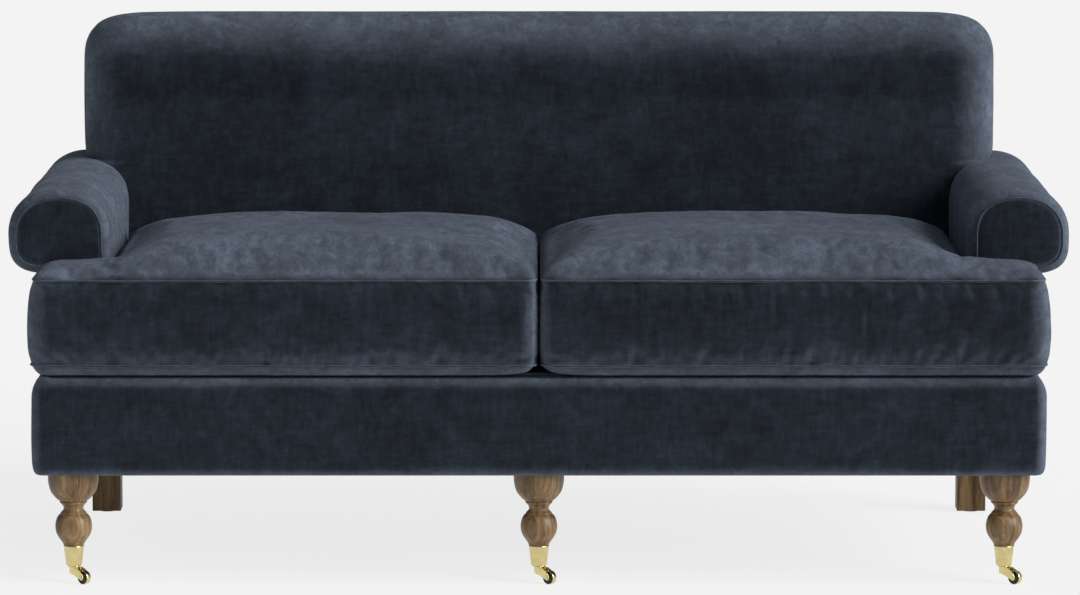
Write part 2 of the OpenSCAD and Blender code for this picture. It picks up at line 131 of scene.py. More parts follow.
def velvet(name, seed=0.0, lift=1.0, painted_highlight_above=None):
    """Slate velvet with a crushed, slubby nap and a painted sheen in its base colour: dark seen square on, painted pale
    where the surface is seen at a glancing angle.
    """
    m, nt, b, co, noise, math_, ramp, bump = node_kit(name)
    s = seed
    big = noise((6, 6, 6), 1.0, 3, 0.55, 0.5, (s, s, s))
    cloud = noise((24, 24, 24), 1.0, 4, 0.62, 0.8, (s + 3, s, s))
    # front and rear faces carry slubs both ways; the others have a crushed, flecked nap
    sep = nt.nodes.new("ShaderNodeSeparateXYZ")
    nt.links.new(co.outputs["Normal"], sep.inputs[0])
    upright = nt.nodes.new("ShaderNodeMapRange")
    upright.interpolation_type = "SMOOTHSTEP"
    upright.inputs["From Min"].default_value = 0.60
    upright.inputs["From Max"].default_value = 0.93
    nt.links.new(math_("ABSOLUTE", sep.outputs[1], None), upright.inputs["Value"])
    lying = math_("SUBTRACT", 1.0, upright.outputs[0])

    def either(a, b):
        return math_("ADD", math_("MULTIPLY", a, math_("SUBTRACT", 1.0, lying)), math_("MULTIPLY", b, lying))

    up = noise((110, 110, 26), 1.0, 3, 0.6, 0.3, (s, s + 5, s))
    along = noise((26, 110, 110), 1.0, 3, 0.6, 0.3, (s, s, s + 9))
    patch = noise((44, 20, 44), 1.0, 4, 0.66, 1.0, (s + 7, s, s))
    slub_u = noise((520, 520, 70), 1.0, 2, 0.6, 0.0, (s, s + 2, s))
    slub_a = noise((70, 520, 520), 1.0, 2, 0.6, 0.0, (s + 2, s, s))
    fleck = noise((190, 70, 190), 1.0, 3, 0.68, 0.6, (s + 2, s + 4, s))
    pile = noise((2100, 2100, 2100), 1.0, 2, 0.6)
    streak = either(math_("ADD", math_("MULTIPLY", up, 0.54), math_("MULTIPLY", along, 0.46)), patch)
    tone = math_("ADD", math_("MULTIPLY", big, 0.22), math_("MULTIPLY", cloud, 0.33))
    tone = math_("ADD", tone, math_("MULTIPLY", streak, 0.45))
    slub = either(math_("ADD", math_("MULTIPLY", slub_u, 0.5), math_("MULTIPLY", slub_a, 0.5)), fleck)
    fac = math_("ADD", math_("MULTIPLY", tone, 0.80), math_("MULTIPLY", slub, 0.20))
    n1 = bump(tone, 0.22, 0.004)
    stops = ((0.40, 0.52), (0.47, 0.80), (0.53, 1.16), (0.61, 1.75))
    dark = ramp(fac, [(p, tuple(c * g * lift for c in NAP_DARK)) for p, g in stops])
    dark.node.name = "nap_dark"
    pale = ramp(fac, [(p, tuple(c * (0.35 + 0.65 * g) * lift for c in PAINTED_SHEEN_PALE)) for p, g in stops])
    pale.node.name = "painted_sheen_pale"
    # painted sheen: the base colour goes from the dark colour to the pale one as the surface is seen at a more glancing
    # angle (Layer Weight facing)
    lw = nt.nodes.new("ShaderNodeLayerWeight")
    lw.inputs["Blend"].default_value = 0.5
    nt.links.new(n1, lw.inputs["Normal"])
    curve = ramp(lw.outputs["Facing"], [(p, grey(g)) for p, g in PAINTED_SHEEN_CURVE])
    curve.node.name = "painted_sheen_curve"
    if painted_highlight_above:
        # painted highlight: above a given height the base colour is painted paler, standing in for light on a tight
        # roll
        pos = nt.nodes.new("ShaderNodeSeparateXYZ")
        nt.links.new(co.outputs["Object"], pos.inputs[0])
        roll = nt.nodes.new("ShaderNodeMapRange")
        roll.interpolation_type = "SMOOTHSTEP"
        roll.inputs["From Min"].default_value = painted_highlight_above[0]
        roll.inputs["From Max"].default_value = painted_highlight_above[1]
        roll.inputs["To Max"].default_value = painted_highlight_above[2]
        nt.links.new(pos.outputs[2], roll.inputs["Value"])
        curve = math_("ADD", curve, math_("MULTIPLY", roll.outputs[0], math_("ADD", cloud, 0.5)), None, True)
    mix = nt.nodes.new("ShaderNodeMix")
    mix.data_type = "RGBA"
    nt.links.new(curve, mix.inputs["Factor"])
    nt.links.new(dark, mix.inputs[6])
    nt.links.new(pale, mix.inputs[7])
    nt.links.new(mix.outputs[2], b.inputs["Base Color"])
    rough = math_("ADD", math_("MULTIPLY", fac, 0.25), 0.72)
    nt.links.new(rough, b.inputs["Roughness"])
    b.inputs["Specular IOR Level"].default_value = 0.10
    b.inputs["Sheen Weight"].default_value = SHEEN
    b.inputs["Sheen Roughness"].default_value = SHEEN_ROUGH
    b.inputs["Sheen Tint"].default_value = (*SHEEN_TINT, 1)
    n2 = bump(slub, 0.20, 0.0010, n1)
    n3 = bump(pile, 0.12, 0.0004, n2)
    nt.links.new(n3, b.inputs["Normal"])
    return m


def walnut(name, dark=1.0, gloss=0.42):
    m, nt, b, co, noise, math_, ramp, bump = node_kit(name)
    grain = noise((38, 38, 4.5), 1.0, 6, 0.62, 1.6)
    figure = noise((11, 11, 1.6), 1.0, 3, 0.5, 2.2, (4, 1, 2))
    pores = noise((520, 520, 16), 1.0, 3, 0.7, 0.0)
    streak = noise((150, 150, 5), 1.0, 4, 0.6, 0.6, (1, 7, 3))
    f = math_("ADD", math_("MULTIPLY", grain, 0.5), math_("MULTIPLY", figure, 0.28))
    f = math_("ADD", f, math_("MULTIPLY", streak, 0.22))
    d = dark
    col = ramp(f, [
        (0.34, (0.036 * d, 0.017 * d, 0.006 * d)),
        (0.45, (0.112 * d, 0.062 * d, 0.025 * d)),
        (0.53, (0.205 * d, 0.121 * d, 0.050 * d)),
        (0.66, (0.370 * d, 0.240 * d, 0.116 * d))])
    pore = ramp(pores, [(0.36, grey(0.42)), (0.50, grey(1.0))])
    mix = nt.nodes.new("ShaderNodeMix")
    mix.data_type = "RGBA"
    mix.blend_type = "MULTIPLY"
    mix.inputs["Factor"].default_value = 0.75
    nt.links.new(col, mix.inputs[6])
    nt.links.new(pore, mix.inputs[7])
    nt.links.new(mix.outputs[2], b.inputs["Base Color"])
    rough = math_("ADD", math_("MULTIPLY", streak, 0.22), 0.36)
    nt.links.new(rough, b.inputs["Roughness"])
    b.inputs["Specular IOR Level"].default_value = gloss
    b.inputs["Coat Weight"].default_value = 0.12 if gloss > 0.3 else 0.0
    b.inputs["Coat Roughness"].default_value = 0.35
    n1 = bump(f, 0.18, 0.0016)
    n2 = bump(pores, 0.22, 0.0004, n1)
    nt.links.new(n2, b.inputs["Normal"])
    return m


def timber(name):
    m, nt, b, co, noise, math_, ramp, bump = node_kit(name)
    grain = noise((6, 60, 60), 1.0, 5, 0.6, 1.2)
    fine = noise((30, 420, 420), 1.0, 3, 0.6)
    f = math_("ADD", math_("MULTIPLY", grain, 0.7), math_("MULTIPLY", fine, 0.3))
    col = ramp(f, [(0.32, (0.33, 0.20, 0.10)), (0.5, (0.55, 0.37, 0.20)), (0.68, (0.70, 0.52, 0.32))])
    nt.links.new(col, b.inputs["Base Color"])
    nt.links.new(math_("ADD", math_("MULTIPLY", fine, 0.3), 0.5), b.inputs["Roughness"])
    nt.links.new(bump(f, 0.25, 0.001), b.inputs["Normal"])
    return m


def metal(name, lo, hi, rough, metallic=1.0, scale=120, brush=None):
    m, nt, b, co, noise, math_, ramp, bump = node_kit(name)
    tarnish = noise(grey(38), 1.0, 4, 0.6, 0.4)
    fine = noise(brush or grey(scale * 8), 1.0, 2, 0.6)
    f = math_("ADD", math_("MULTIPLY", tarnish, 0.65), math_("MULTIPLY", fine, 0.35))
    nt.links.new(ramp(f, [(0.35, lo), (0.65, hi)]), b.inputs["Base Color"])
    nt.links.new(math_("ADD", math_("MULTIPLY", f, 0.18), rough - 0.09), b.inputs["Roughness"])
    b.inputs["Metallic"].default_value = metallic
    nt.links.new(bump(fine, 0.06, 0.0002), b.inputs["Normal"])
    return m


def cloth_plain(name, lo, hi, thread=900.0, rough=0.9, strength=0.5, sheen=0.1):
    """Plain weave: two sets of threads, at right angles, on whichever face it is seen."""
    m, nt, b, co, noise, math_, ramp, bump = node_kit(name)
    waves = []
    for axis in ("X", "Y", "Z"):
        w = nt.nodes.new("ShaderNodeTexWave")
        w.wave_type = "BANDS"
        w.bands_direction = axis
        w.inputs["Scale"].default_value = thread / 20.0
        w.inputs["Distortion"].default_value = 0.6
        w.inputs["Detail"].default_value = 1.0
        nt.links.new(co.outputs["Object"], w.inputs[0])
        waves.append(w.outputs["Fac"])
    weave = math_("MULTIPLY", math_("MULTIPLY", waves[0], 0.9), 1.0)
    weave = math_("MAXIMUM", weave, math_("MAXIMUM", math_("MULTIPLY", waves[1], 0.9), math_("MULTIPLY", waves[2], 0.9)))
    shade = noise(grey(14), 1.0, 4, 0.6, 0.3)
    f = math_("ADD", math_("MULTIPLY", weave, 0.35), math_("MULTIPLY", shade, 0.65))
    nt.links.new(ramp(f, [(0.3, lo), (0.75, hi)]), b.inputs["Base Color"])
    b.inputs["Roughness"].default_value = rough
    b.inputs["Sheen Weight"].default_value = sheen
    b.inputs["Specular IOR Level"].default_value = 0.15
    nt.links.new(bump(weave, strength, 0.0005), b.inputs["Normal"])
    return m


def moulded(name, lo, hi, rough):
    m, nt, b, co, noise, math_, ramp, bump = node_kit(name)
    a = noise(grey(160), 1.0, 4, 0.6)
    g = noise(grey(2600), 1.0, 2, 0.6)
    nt.links.new(ramp(a, [(0.35, lo), (0.65, hi)]), b.inputs["Base Color"])
    nt.links.new(math_("ADD", math_("MULTIPLY", a, 0.25), rough - 0.12), b.inputs["Roughness"])
    nt.links.new(bump(g, 0.12, 0.0002), b.inputs["Normal"])
    return m


VELVET = velvet("slate_velvet", 0.0)
VELVET_B = velvet("slate_velvet_left", 11.3)
VELVET_C = velvet("slate_velvet_right", 23.9)
# the base band's top roll gets a painted highlight: its colour is painted paler above z 0.341 to 0.353 m
VELVET_BASE = velvet("slate_velvet_base", 23.9, 1.0, (0.341, 0.353, 0.10))
WELT = velvet("slate_velvet_welt", 5.0, 1.25)
WALNUT = walnut("walnut")
WALNUT_DARK = walnut("walnut_rear", 0.56, 0.18)
TIMBER = timber("frame_timber")
BRASS = metal("brass", (0.60, 0.49, 0.22), (0.79, 0.69, 0.35), 0.20)
STEEL = metal("steel", (0.42, 0.43, 0.45), (0.60, 0.61, 0.63), 0.34)
ZIP_METAL = metal("zip_metal", (0.10, 0.10, 0.11), (0.20, 0.20, 0.22), 0.35)
BLACK = moulded("wheel_black", (0.006, 0.006, 0.006), (0.016, 0.015, 0.014), 0.42)
GLIDE = moulded("glide", (0.02, 0.02, 0.02), (0.04, 0.04, 0.04), 0.6)
LINING = cloth_plain("lining", (0.010, 0.010, 0.012), (0.026, 0.026, 0.030), 700, 0.95, 0.5, 0.05)
DECKING = cloth_plain("decking", (0.010, 0.013, 0.018), (0.026, 0.032, 0.042), 900, 0.9, 0.5, 0.2)
TAPE = cloth_plain("zip_tape", (0.012, 0.014, 0.018), (0.03, 0.034, 0.042), 1500, 0.9, 0.6, 0.1)

# --------------------------------------------------------------- mesh tools


def waves(P, size, seed, n=28):
    """A smooth random field of unit spread over points P (mm), features about `size` mm across."""
    rng = np.random.default_rng(seed)
    k = rng.normal(size=(n, 3))
    k /= np.linalg.norm(k, axis=1)[:, None]
    k *= (2 * math.pi / size) * rng.uniform(0.55, 1.25, size=(n, 1))
    ph = rng.uniform(0, 2 * math.pi, n)
    return np.sin(P @ k.T + ph).sum(1) / math.sqrt(n / 2)


def make(name, verts, faces, mats, body="root", replaces=(), smooth=True, merge=None, mat_of=None):
    me = bpy.data.meshes.new(name)
    me.from_pydata((np.asarray(verts, float) * MM).tolist(), [], [list(map(int, f)) for f in faces])
    for m in mats:
        me.materials.append(m)
    if mat_of is not None:
        me.polygons.foreach_set("material_index", list(mat_of))
    me.update()
    bm = bmesh.new()
    bm.from_mesh(me)
    if merge:
        bmesh.ops.remove_doubles(bm, verts=bm.verts, dist=merge * MM)
    bmesh.ops.recalc_face_normals(bm, faces=bm.faces)
    bm.to_mesh(me)
    bm.free()
    me.polygons.foreach_set("use_smooth", [smooth] * len(me.polygons))
    me.update()
    o = bpy.data.objects.new(name, me)
    sc.collection.objects.link(o)
    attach(o, body)
    if replaces:
        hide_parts(*replaces)
    return o


def get_co(me):
    a = np.empty(len(me.vertices) * 3)
    me.vertices.foreach_get("co", a)
    return a.reshape(-1, 3)


def get_no(me):
    a = np.empty(len(me.vertices) * 3, dtype=np.float32)
    me.vertex_normals.foreach_get("vector", a)
    return a.reshape(-1, 3).astype(float)


def set_co(me, a):
    me.vertices.foreach_set("co", np.asarray(a, float).ravel())
    me.update()


def undulate(o, terms, keep=None):
    """Moves a mesh's vertices along their normals by a sum of smooth fields. terms: (amplitude mm, size mm, seed)."""
    P, N = get_co(o.data), get_no(o.data)
    q = P / MM
    d = sum(a * waves(q, s, seed) for a, s, seed in terms)
    if keep is not None:
        d = d * keep(q)
    set_co(o.data, P + N * (d * MM)[:, None])


def rings(rows, close_ring=True, cap0=False, cap1=False, close_rows=False):
    """Quads between rows of points; every row has the same count."""
    m, n = len(rows), len(rows[0])
    verts = np.concatenate([np.asarray(r, float) for r in rows])
    faces = []
    last = m if close_rows else m - 1
    for j in range(last):
        a, b = j * n, ((j + 1) % m) * n
        for i in range(n if close_ring else n - 1):
            k = (i + 1) % n
            faces.append((a + i, a + k, b + k, b + i))
    if cap0:
        faces.append(tuple(range(n)))
    if cap1:
        faces.append(tuple((m - 1) * n + i for i in range(n)))
    return verts, faces


def resample(p, step, closed=False):
    """Points along a polyline at even steps."""
    p = np.asarray(p, float)
    if closed:
        p = np.vstack([p, p[:1]])
    seg = np.linalg.norm(np.diff(p, axis=0), axis=1)
    p = p[np.r_[True, seg > 1e-9]]
    seg = np.linalg.norm(np.diff(p, axis=0), axis=1)
    s = np.r_[0, np.cumsum(seg)]
    n = max(2, int(round(s[-1] / step)))
    t = np.linspace(0, s[-1], n + 1)
    if closed:
        t = t[:-1]
    return np.stack([np.interp(t, s, p[:, k]) for k in range(p.shape[1])], 1)


def tube(path, r, closed=False, sides=12, up=None):
    """A round tube along a path, with flat ends."""
    p = np.asarray(path, float)
    n = len(p)
    r = np.broadcast_to(np.asarray(r, float), (n,))
    if closed:
        t = np.roll(p, -1, 0) - np.roll(p, 1, 0)
    else:
        t = np.gradient(p, axis=0)
    t /= np.linalg.norm(t, axis=1)[:, None]
    u = np.array(up if up is not None else [0, 0, 1.0], float)
    a = np.cross(t, u)
    a /= np.maximum(np.linalg.norm(a, axis=1)[:, None], 1e-9)
    b = np.cross(a, t)
    rows = []
    for i in range(sides):
        g = 2 * math.pi * i / sides
        rows.append(p + a * (math.cos(g) * r)[:, None] + b * (math.sin(g) * r)[:, None])
    rows = np.stack(rows, 1)  # n, sides, 3
    v, f = rings(list(rows), True, not closed, not closed, closed)
    return v, f


def lathe(profile, segs=96, centre=(0, 0), close=True):
    """profile: (radius, height) from axis to axis, revolved about a vertical line."""
    rows = []
    for r, z in profile:
        g = np.arange(segs) * 2 * math.pi / segs
        rows.append(np.stack([centre[0] + r * np.cos(g), centre[1] + r * np.sin(g), np.full(segs, z)], 1))
    return rings(rows, True, close, close)


def spline(pts, n):
    """A smooth curve through points (centripetal Catmull-Rom), n steps per span."""
    p = np.asarray(pts, float)
    p = np.vstack([2 * p[0] - p[1], p, 2 * p[-1] - p[-2]])
    out = []
    for i in range(1, len(p) - 2):
        p0, p1, p2, p3 = p[i - 1], p[i], p[i + 1], p[i + 2]
        t0 = 0
        t1 = t0 + np.linalg.norm(p1 - p0) ** 0.5
        t2 = t1 + np.linalg.norm(p2 - p1) ** 0.5
        t3 = t2 + np.linalg.norm(p3 - p2) ** 0.5
        for k in range(n):
            t = t1 + (t2 - t1) * k / n
            a1 = (t1 - t) / (t1 - t0) * p0 + (t - t0) / (t1 - t0) * p1
            a2 = (t2 - t) / (t2 - t1) * p1 + (t - t1) / (t2 - t1) * p2
            a3 = (t3 - t) / (t3 - t2) * p2 + (t - t2) / (t3 - t2) * p3
            b1 = (t2 - t) / (t2 - t0) * a1 + (t - t0) / (t2 - t0) * a2
            b2 = (t3 - t) / (t3 - t1) * a2 + (t - t1) / (t3 - t1) * a3
            out.append((t2 - t) / (t2 - t1) * b1 + (t - t1) / (t2 - t1) * b2)
    out.append(p[-2])
    return np.array(out)


def sup(c, a, b, e, a0, a1, n, skip=0):
    t = np.radians(a0 + (a1 - a0) * np.arange(skip, n + 1) / n)
    u, v = np.cos(t), np.sin(t)
    return np.stack([c[0] + a * np.sign(u) * np.abs(u) ** (2 / e), c[1] + b * np.sign(v) * np.abs(v) ** (2 / e)], 1)


def rpoly(p, r, n=8):
    p = [np.array(q, float) for q in p]
    out = []
    for k in range(len(p)):
        P, A, B = p[k], p[k - 1] - p[k], p[(k + 1) % len(p)] - p[k]
        A, B = A / np.linalg.norm(A), B / np.linalg.norm(B)
        R = r[k]
        if R <= 0:
            out.append(P)
            continue
        C = P + (A + B) * R
        for j in range(n + 1):
            t = math.radians(90 * j / n)
            out.append(C - R * (B * math.cos(t) + A * math.sin(t)))
    return np.array(out)


def mirror_x(v):
    v = np.array(v, float)
    v[:, 0] *= -1
    return v


# ---------------------------------------------------------------- the back
RAKE = math.radians(4)
PANEL = 668.0
BACK_Y0 = 460 - PANEL * math.sin(RAKE)


def rear_plane(z, d):
    return BACK_Y0 - d / math.cos(RAKE) + (z - 195) * math.tan(RAKE)


FRONT_Y = spline([(170, 355), (173, 410), (179, 480), (190, 570), (203, 635), (218, 700), (239, 775), (244, 801), (247, 815)], 12)


def back_front(z):
    return np.interp(z, FRONT_Y[:, 1], FRONT_Y[:, 0])


def back_ring(z, nf=150, nc=22, ns=10):
    X = 830.2 - 2.2 * ((z - 795) / 125) ** 2 if z > 700 else 830.2 - 2.2 * ((700 - 795) / 125) ** 2
    if z > 662:
        X -= 7.0 * math.exp(-(z - 662) / 9.0)
    if z > 835:
        X = 700 + 130.0 * max(0.0, 1 - ((z - 835) / 89) ** 3) ** (1 / 3)
    yf, yr = float(back_front(min(z, 782))), rear_plane(min(z, 858), 5.6)
    if z > 782:
        yf = 352 - (352 - yf) * max(0.0, 1 - ((z - 782) / 142) ** 2.05) ** (1 / 2.05)
    if z > 858:
        yr = 352 + (yr - 352) * max(0.0, 1 - ((z - 858) / 66) ** 2.3) ** (1 / 2.3)
    half = (yr - yf) / 2
    rf, rr = min(88.0, half * 0.98, X), min(20.0, half * 0.98)
    if z > 880:
        g = min(1.0, (z - 880) / 44)
        rr = rr + (min(58.0, half * 0.98) - rr) * g * g
    pts = []
    xs = np.linspace(-1, 1, nf + 1)
    fx = xs * (X - rf)
    for x in fx:
        pts.append((x, yf))
    for c in sup((X - rf, yf + rf), rf, rf, 2.15, -90, 0, nc, 1):
        pts.append(tuple(c))
    for y in np.linspace(yf + rf, yr - rr, ns + 1)[1:]:
        pts.append((X, y))
    for c in sup((X - rr, yr - rr), rr, rr, 2.0, 0, 90, nc, 1):
        pts.append(tuple(c))
    for x in np.linspace(X - rr, -(X - rr), nf + 1)[1:]:
        pts.append((x, yr))
    for c in sup((-(X - rr), yr - rr), rr, rr, 2.0, 90, 180, nc, 1):
        pts.append(tuple(c))
    for y in np.linspace(yr - rr, yf + rf, ns + 1)[1:]:
        pts.append((-X, y))
    for c in sup((-(X - rf), yf + rf), rf, rf, 2.15, 180, 270, nc, 1)[:-1]:
        pts.append(tuple(c))
    a = np.array(pts)
    # the inside back is crowned: its edges lie further back than its middle
    u = np.clip(np.abs(a[:, 0]) / X, 0, 1)
    front = np.clip((yf + 60 - a[:, 1]) / 60, 0, 1)
    fade = np.clip((924 - z) / 110, 0, 1)
    a[:, 1] += 10 * u ** 3 * front * fade
    # and its top edge falls away a little towards the corners
    fall = 2.0 * np.clip((np.abs(a[:, 0]) - 600) / 150, 0, 1) ** 2 * np.clip((z - 850) / 74, 0, 1)
    return np.c_[a, z - fall]


zs = list(np.arange(362, 655, 13.0)) + list(np.arange(655, 720, 4.0)) + list(np.arange(720, 834, 6.0))
t = np.linspace(0, 1, 56)
zs += list(835 + 89 * (1 - (1 - t) ** 2.3))
v, f = rings([back_ring(z) for z in zs], True, True, False)
back = make("inside_back", v, f, [VELVET], "root", ["back_padding", "back_cover"], merge=0.05)
undulate(back, [(1.1, 420, 3), (0.5, 150, 4), (0.18, 60, 5)],
         keep=lambda q: np.clip((924 - q[:, 2]) / 60, 0.15, 1) * np.clip((q[:, 2] - 600) / 60, 0.4, 1))

# outside back: one padded panel between welted edges, on the rake
nx, nz = 140, 64
ca, sa = math.cos(RAKE), math.sin(RAKE)


def on_rake(x, y, lz):
    return np.stack([x, BACK_Y0 + y * ca + lz * sa, 195 - y * sa + lz * ca], -1)


gx, gz = np.meshgrid(np.linspace(-829, 829, nx + 1), np.linspace(3, PANEL, nz + 1), indexing="ij")


def edge_fall(gx, gz, w):
    d = np.minimum.reduce([829 - np.abs(gx), gz - 3, PANEL - gz])
    return np.clip(d / w, 0, 1)


puff = -1.6 + 1.4 * (1 - (1 - edge_fall(gx, gz, 40)) ** 2.2) - 2.4 * (1 - edge_fall(gx, gz, 8)) ** 2
rear = on_rake(gx, puff, gz).reshape(-1, 3)
front = on_rake(gx, np.full_like(gx, -5.0), gz).reshape(-1, 3)
n = (nx + 1) * (nz + 1)
idx = np.arange(n).reshape(nx + 1, nz + 1)
fs = []
for i in range(nx):
    for j in range(nz):
        a, b, c, d = idx[i, j], idx[i + 1, j], idx[i + 1, j + 1], idx[i, j + 1]
        fs.append((a, b, c, d))
        fs.append((a + n, d + n, c + n, b + n))
rim = list(idx[:, 0]) + list(idx[-1, 1:]) + list(idx[-2::-1, -1]) + list(idx[0, -2:0:-1])
for k in range(len(rim)):
    a, b = rim[k], rim[(k + 1) % len(rim)]
    fs.append((a, b, b + n, a + n))
outside = make("outside_back_panel", np.vstack([rear, front]), fs, [VELVET_B], "root", ["outside_back"])

# welt round the outside back, up both sides and over the top
path = [(-829, 8)] + [(-829, z) for z in np.linspace(30, PANEL - 14, 60)]
path += [tuple(c) for c in sup((-815, PANEL - 14), 14, 14, 2, 180, 90, 6, 1)]
path += [(x, PANEL) for x in np.linspace(-800, 800, 120)]
path += [tuple(c) for c in sup((815, PANEL - 14), 14, 14, 2, 90, 0, 6)]
path += [(829, z) for z in np.linspace(PANEL - 30, 30, 60)] + [(829, 8)]
path = np.array(path)
wp = on_rake(path[:, 0], np.full(len(path), -2.6), path[:, 1])
v, f = tube(resample(wp, 9), 2.5, False, 12, up=(0, 1, 0))
make("outside_back_welt", v, f, [WELT], "root")

# seam between the inside back and its border: up one side, over the top and down the other
half = []
for z in np.concatenate([np.linspace(668, 835, 44), 835 + 89 * (1 - (1 - np.linspace(0.02, 0.995, 40)) ** 2.3)]):
    y = np.interp(z, [660, 800, 924], [318, 338, 352])
    r = back_ring(z)
    q = r[r[:, 0] > 0]
    q = q[q[:, 0] > q[:, 0].max() - 60]
    q = q[np.argsort(q[:, 1])]
    y = float(np.clip(y, q[0, 1], q[-1, 1]))
    half.append((np.interp(y, q[:, 1], q[:, 0]) + 0.1, y, np.interp(y, q[:, 1], q[:, 2]) - 0.5 * max(0.0, (z - 850) / 74)))
half = np.array(half)
top = np.linspace(690, -690, 160)
top = np.c_[top, np.full(160, 352.0), 924 - 0.9 - 2.0 * np.clip((np.abs(top) - 600) / 150, 0, 1) ** 2]
p = np.vstack([half, top, mirror_x(half[::-1])])
for _ in range(8):
    p[1:-1] = (p[:-2] + 2 * p[1:-1] + p[2:]) / 4
v, f = tube(resample(p, 8), 1.4, False, 10, up=(0, 1, 0))
make("back_border_seam", v, f, [WELT], "root")

# the cover is tacked under the rear rail
rows = []
for y, z in ((408.6, 201.0), (408.4, 198.2), (407.4, 196.9), (405.5, 196.4), (398.0, 196.6), (395.0, 197.6), (395.0, 199.2), (406.0, 199.6), (407.2, 201.0)):
    rows.append([(x, y, z) for x in np.linspace(-827, 827, 90)])
v, f = rings(list(np.array(rows).transpose(1, 0, 2)), True, True, True)
make("outside_back_return", v, f, [VELVET_B], "root")

# ---------------------------------------------------------------- the arms
ARM_IN, ARM_OUT, RX, RZ = 742.0, 860.0, 828.0, 587.0


def arm_outline(i, z0=360.3, n=26, n2=14):
    t0 = -math.degrees(math.acos(max(0.001, (ARM_OUT - RX - i) / (86.5 - i)) ** 1.7))
    lower = sup((RX, RZ), 86.5 - i, 67 - i, 3.4, t0, 0, n)
    zj = lower[0, 1]
    left = np.stack([np.full(n2, ARM_OUT - i), np.linspace(z0, zj, n2 + 1)[:-1]], 1)
    up = sup((RX, RZ), 86.5 - i, 78 - i, 2.2, 0, 90, n, 1)
    inn = sup((RX, RZ), RX - ARM_IN - i, 78 - i, 2.4, 90, 180, n, 1)
    right = np.stack([np.full(n2, ARM_IN + i), np.linspace(RZ, z0, n2 + 1)[1:]], 1)
    return np.vstack([left, lower, up, inn, right])


def arm_body(sgn, side, mat):
    y0, y1, R = -290.0, 405.0, 31.0
    # soft shoulder from the front seam out to the roll
    st = [(y0 + 5.0, 12.9), (y0 + 1.6, 12.5)]
    for k in range(15):
        g = math.radians(38 + 52 * k / 14)
        st.append((y0 + 0.4 + R * (math.cos(math.radians(38)) - math.cos(g)), R - R * math.sin(g)))
    for y in np.linspace(y0 + 34, y1 - 14, 54):
        st.append((y, 0.0))
    # the roll is fullest just behind its shoulder
    st = [(y, i - 0.9 * min(1.0, max(0.0, (y - y0 - 1) / 14)) * min(1.0, max(0.0, (y0 + 110 - y) / 80))) for y, i in st]
    for k in range(7):
        g = math.radians(90 * k / 6)
        st.append((y1 - 6 + 6 * math.sin(g), 6 - 6 * math.cos(g)))
    rows = []
    for y, i in st:
        o = arm_outline(i)
        rows.append(np.c_[o[:, 0], np.full(len(o), y), o[:, 1]])
    # rear cap: shrink towards the middle in steps, then one flat face
    for i in (9, 14, 20, 26):
        o = arm_outline(i)
        rows.append(np.c_[o[:, 0], np.full(len(o), y1), o[:, 1]])
    v, f = rings(rows, True, True, True)
    if sgn < 0:
        v = mirror_x(v)
    o = make(f"arm_{side}", v, f, [mat], "root", [f"arm_padding_{side}", f"arm_cover_{side}"])
    bm = bmesh.new()
    bm.from_mesh(o.data)
    bmesh.ops.triangulate(bm, faces=[q for q in bm.faces if len(q.verts) > 4])
    bm.to_mesh(o.data)
    bm.free()
    undulate(o, [(0.7, 260, 31 + (sgn > 0)), (0.35, 110, 33), (0.15, 45, 35)],
             keep=lambda q: np.clip((q[:, 1] + 286) / 30, 0, 1))
    return o


def arm_face(sgn, side, mat):
    y0 = -290.0
    rows = []
    for i, y in ((13.0, y0 + 4.2), (13.3, y0 + 2.0), (14.2, y0 + 0.6), (15.8, y0 - 0.4), (18.5, y0 - 1.2), (22, y0 - 1.6), (29, y0 - 1.9)):
        o = arm_outline(i, 369.0)
        rows.append(np.c_[o[:, 0], np.full(len(o), y), o[:, 1]])
    back_row = [np.c_[rows[0][:, 0], np.full(len(rows[0]), y0 + 5.0), rows[0][:, 2]]]
    v, f = rings(back_row + rows, True, True, True)
    if sgn < 0:
        v = mirror_x(v)
    o = make(f"arm_front_{side}", v, f, [mat], "root", [f"arm_facing_{side}"])
    bm = bmesh.new()
    bm.from_mesh(o.data)
    bmesh.ops.triangulate(bm, faces=[q for q in bm.faces if len(q.verts) > 4])
    bm.to_mesh(o.data)
    bm.free()
    return o


for sgn, side, mat in ((-1, "left", VELVET_B), (1, "right", VELVET_C)):
    arm_body(sgn, side, mat)
    arm_face(sgn, side, VELVET)
    o = arm_outline(12.4, 372.0, 26, 30)
    p = resample(np.c_[o[:, 0] * sgn, np.full(len(o), -289.6), o[:, 1]], 5)
    v, f = tube(p, 1.7, False, 12, up=(0, 1, 0))
    make(f"arm_front_welt_{side}", v, f, [WELT], "root", ["arm_facing_welts"])
    # seam under the roll, along the outside arm
    ys = np.linspace(-284, 402, 90)
    p = np.c_[np.full(90, sgn * 860.4), ys, np.full(90, 521.5)]
    v, f = tube(p, 2.0, False, 10)
    make(f"outside_arm_seam_{side}", v, f, [WELT], "root")

# ------------------------------------------------------------ the base band


def base_path(i):
    """Plan of the base band from one rear return round the front to the other, i inside its face."""
    B, F, Y1 = 865.2 - i, -455.0 + i, 407.0 - min(i, 1.6)
    r = max(22.0 - i, 5.0)
    rr = max(6.0 - i * 0.5, 1.0)
    p = [(-812.0, Y1)]
    p += [tuple(c) for c in sup((-B + rr, Y1 - rr), rr, rr, 2, 90, 180, 5)]
    n = 60
    p += [(-B, y) for y in np.linspace(Y1 - rr, F + r, n + 1)[1:-1]]
    p += [tuple(c) for c in sup((-B + r, F + r), r, r, 2, 180, 270, 10)]
    p += [(x, F) for x in np.linspace(-B + r, B - r, 126)[1:-1]]
    p += [tuple(c) for c in sup((B - r, F + r), r, r, 2, 270, 360, 10)]
    p += [(B, y) for y in np.linspace(F + r, Y1 - rr, n + 1)[1:-1]]
    p += [tuple(c) for c in sup((B - rr, Y1 - rr), rr, rr, 2, 0, 90, 5)]
    p.append((812.0, Y1))
    return np.array(p)


